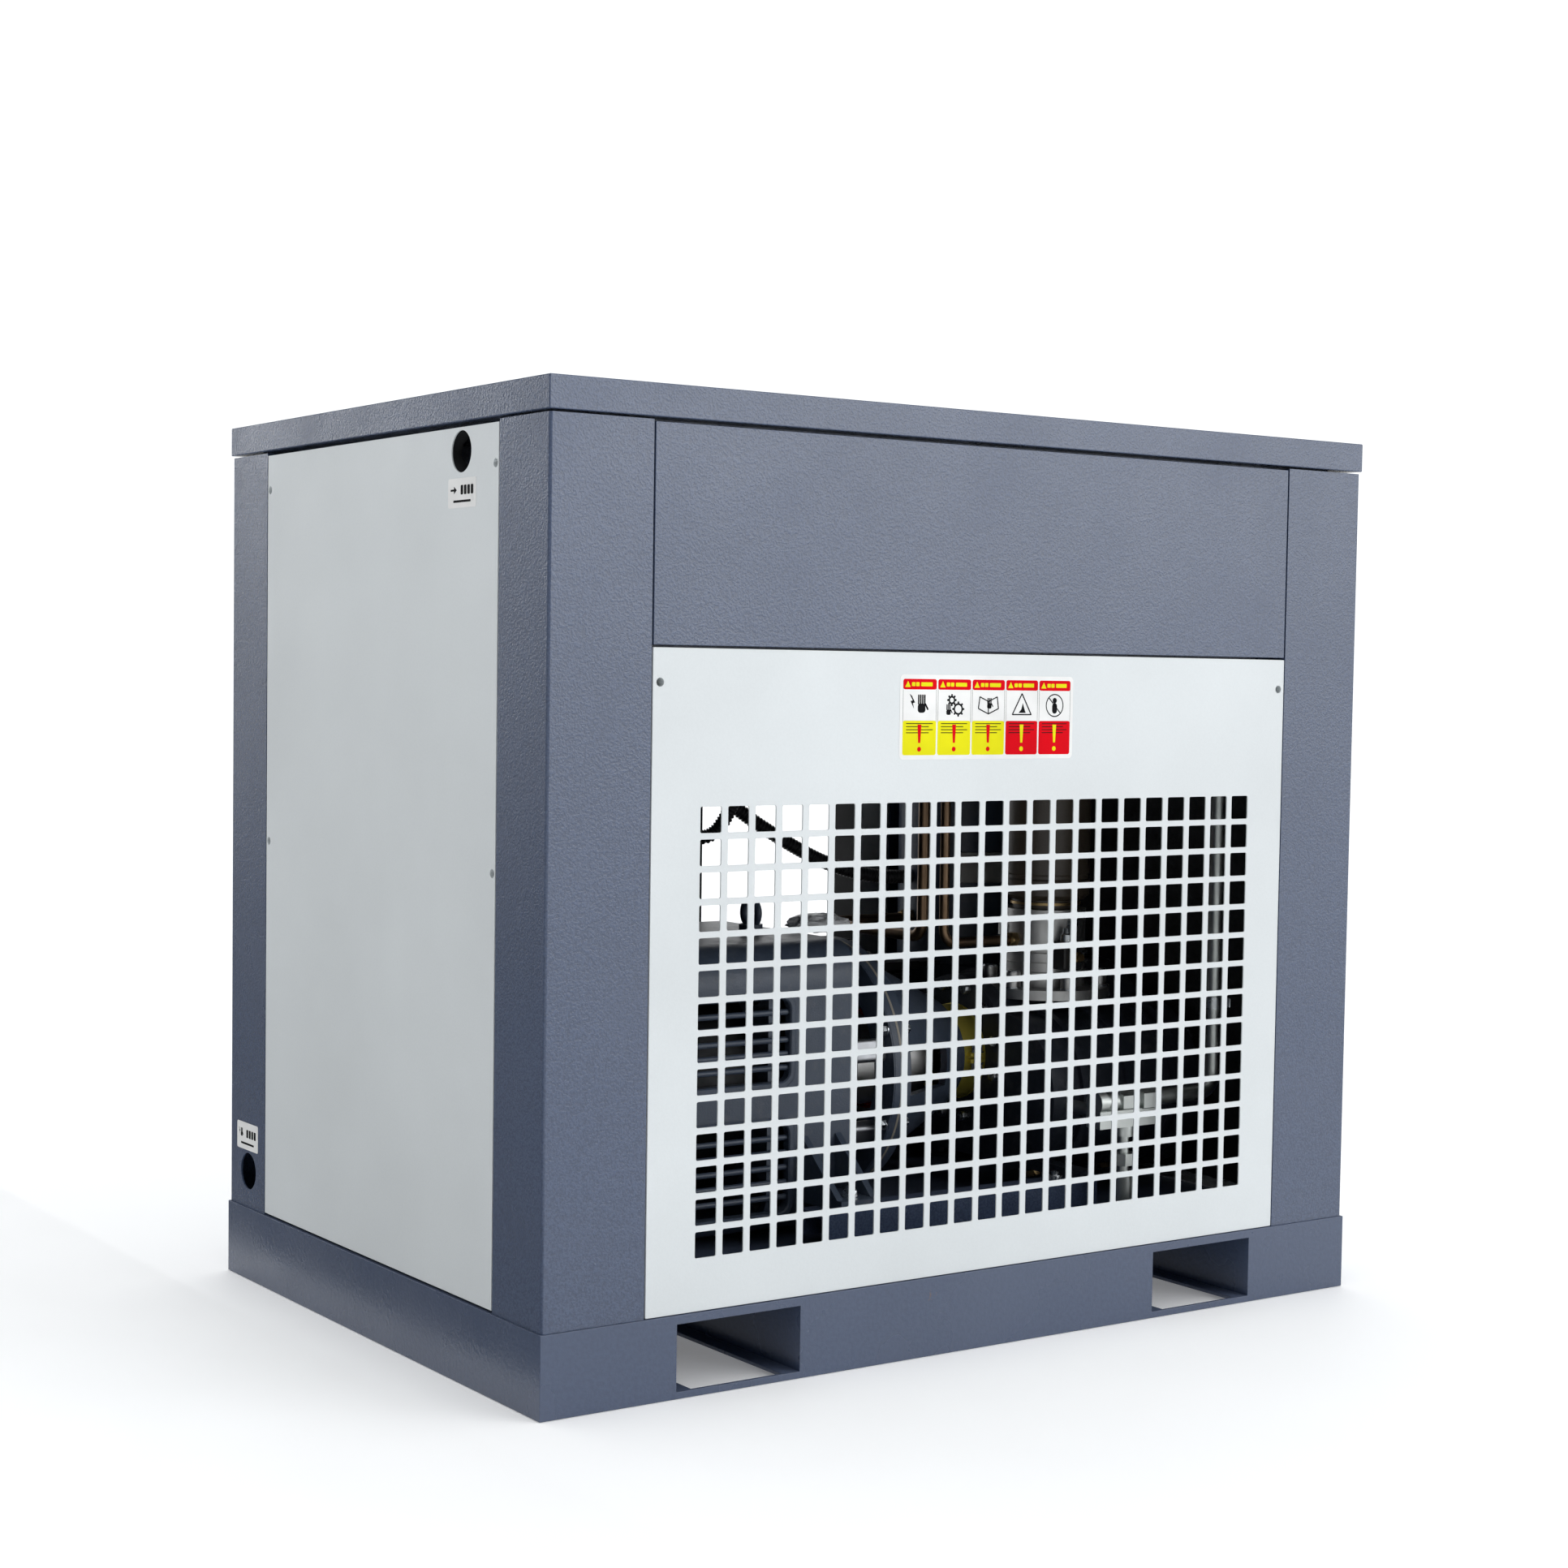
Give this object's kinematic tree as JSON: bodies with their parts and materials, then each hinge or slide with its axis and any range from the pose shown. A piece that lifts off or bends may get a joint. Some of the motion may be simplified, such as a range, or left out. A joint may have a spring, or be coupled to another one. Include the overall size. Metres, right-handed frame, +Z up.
{
  "type": "rotary screw air compressor",
  "caption": "Enclosed direct-drive rotary screw air compressor: sheet-metal canopy with fork pockets and grille, motor, coupling, airend, separator tank and cooler.",
  "frame": {"origin": "middle of the footprint, on the ground, at the underside of the base", "axes": "+Z up; -Y towards the viewer of the grille side; -X towards the side with the air outlet and the wire entry"},
  "size_m": [1.1, 0.75, 1],
  "materials": {
    "blue_grey_paint": "textured powder coat, orange peel",
    "light_paint": "fine textured powder coat",
    "motor_paint": "satin enamel over cast metal",
    "airend_paint": "satin dark enamel over a casting",
    "steel": "turned and ground",
    "zinc": "bright zinc plated",
    "yellow_zinc": "yellow passivated zinc and brass",
    "alloy": "sand cast and machined",
    "copper": "drawn copper and enamelled copper wire",
    "black_rubber": "matte",
    "black_plastic": "moulded, fine grain",
    "foam": "open cell acoustic foam",
    "red_plastic": "moulded, satin",
    "spider_polymer": "cast polyurethane",
    "sight_glass": "clear"
  },
  "bodies": {
    "enclosure": {"base_frame": "blue_grey_paint", "corner_posts_front": "blue_grey_paint", "corner_posts_rear": "blue_grey_paint", "frame_rails": "blue_grey_paint", "roof_panel": "blue_grey_paint", "front_upper_panel": "blue_grey_paint", "front_grille_panel": "light_paint", "left_side_panel": "light_paint", "right_side_panel": "light_paint", "rear_upper_panel": "blue_grey_paint", "rear_intake_panel": "light_paint", "door_hinges": "zinc", "panel_screws": "zinc", "acoustic_foam": "foam", "support_rails": "blue_grey_paint", "vibration_mounts": "black_rubber", "motor_frame": "motor_paint", "motor_rear_shield": "motor_paint", "motor_drive_shield": "motor_paint", "stator": "steel", "bearings": "steel", "terminal_box": "motor_paint", "bell_housing": "motor_paint", "clamp_ring": "yellow_zinc", "airend_housing": "airend_paint", "airend_cover": "airend_paint", "intake_valve_body": "alloy", "air_filter": "black_plastic", "separator_tank": "motor_paint", "tank_lid": "motor_paint", "oil_filter": "black_plastic", "level_glass": "sight_glass", "safety_valve_body": "yellow_zinc", "drain_valve_body": "yellow_zinc", "minimum_pressure_valve": "alloy", "cooler": "alloy", "fan_shroud": "blue_grey_paint", "fan_motor": "black_plastic", "oil_pipe": "steel", "copper_pipes": "copper", "outlet_pipe": "zinc", "electrical_cabinet": "blue_grey_paint", "switchgear": "black_plastic", "control_unit": "black_plastic", "cable_conduits": "black_rubber"},
    "drive": {"motor_shaft": "steel", "rotor_core": "steel", "motor_fan": "alloy", "coupling_hubs": "alloy", "coupling_spider": "spider_polymer", "male_rotor": "steel"},
    "driven_rotor": {"female_rotor": "steel"},
    "fan": {"cooling_fan": "black_plastic"},
    "intake_disc": {"intake_valve_disc": "steel"},
    "pressure_piston": {"minimum_pressure_piston": "yellow_zinc"},
    "safety_stem": {"safety_valve_stem": "steel"},
    "drain_lever": {"drain_valve_lever": "red_plastic"},
    "door": {"service_door": "light_paint"},
    "lock": {"door_lock": "zinc"},
    "stop_button": {"emergency_stop_button": "red_plastic"}
  },
  "joints": [
    {"name": "drive_spin", "type": "hinge", "parent": "enclosure", "child": "drive", "pos_m": [0, 0, 0.256], "axis": [1, 0, 0], "continuous": true},
    {"name": "driven_rotor_spin", "type": "hinge", "parent": "enclosure", "child": "driven_rotor", "pos_m": [0.3, -0.092, 0.21681], "axis": [1, 0, 0], "continuous": true},
    {"name": "fan_spin", "type": "hinge", "parent": "enclosure", "child": "fan", "pos_m": [0.07, 0, 0.82], "axis": [0, 0, 1], "continuous": true},
    {"name": "intake_disc_slide", "type": "slide", "parent": "enclosure", "child": "intake_disc", "axis": [0, 0, -1], "range_m": [0, 0.012], "stiffness_N_per_m": 600, "springref_m": -0.02},
    {"name": "pressure_piston_slide", "type": "slide", "parent": "enclosure", "child": "pressure_piston", "axis": [0, 0, 1], "range_m": [0, 0.008], "stiffness_N_per_m": 4000, "springref_m": -0.004},
    {"name": "safety_stem_pull", "type": "slide", "parent": "enclosure", "child": "safety_stem", "axis": [0, 0, 1], "range_m": [0, 0.004], "stiffness_N_per_m": 3000, "springref_m": -0.003},
    {"name": "drain_lever_turn", "type": "hinge", "parent": "enclosure", "child": "drain_lever", "pos_m": [0.304, 0.215, 0.15], "axis": [0, 0, -1], "range_deg": [0, 90]},
    {"name": "door_swing", "type": "hinge", "parent": "enclosure", "child": "door", "pos_m": [-0.4215, 0.366, 0.4], "axis": [0, 0, 1], "range_deg": [0, 105]},
    {"name": "lock_turn", "type": "hinge", "parent": "door", "child": "lock", "pos_m": [0.022, 0.365, 0.4], "axis": [0, -1, 0], "range_deg": [0, 90]},
    {"name": "emergency_stop_push", "type": "slide", "parent": "enclosure", "child": "stop_button", "axis": [0, -1, 0], "range_m": [0, 0.004], "stiffness_N_per_m": 900, "springref_m": -0.003}
  ],
  "couplings": [
    {"joint": "driven_rotor_spin", "follows": "drive_spin", "ratio": -0.66667}
  ]
}
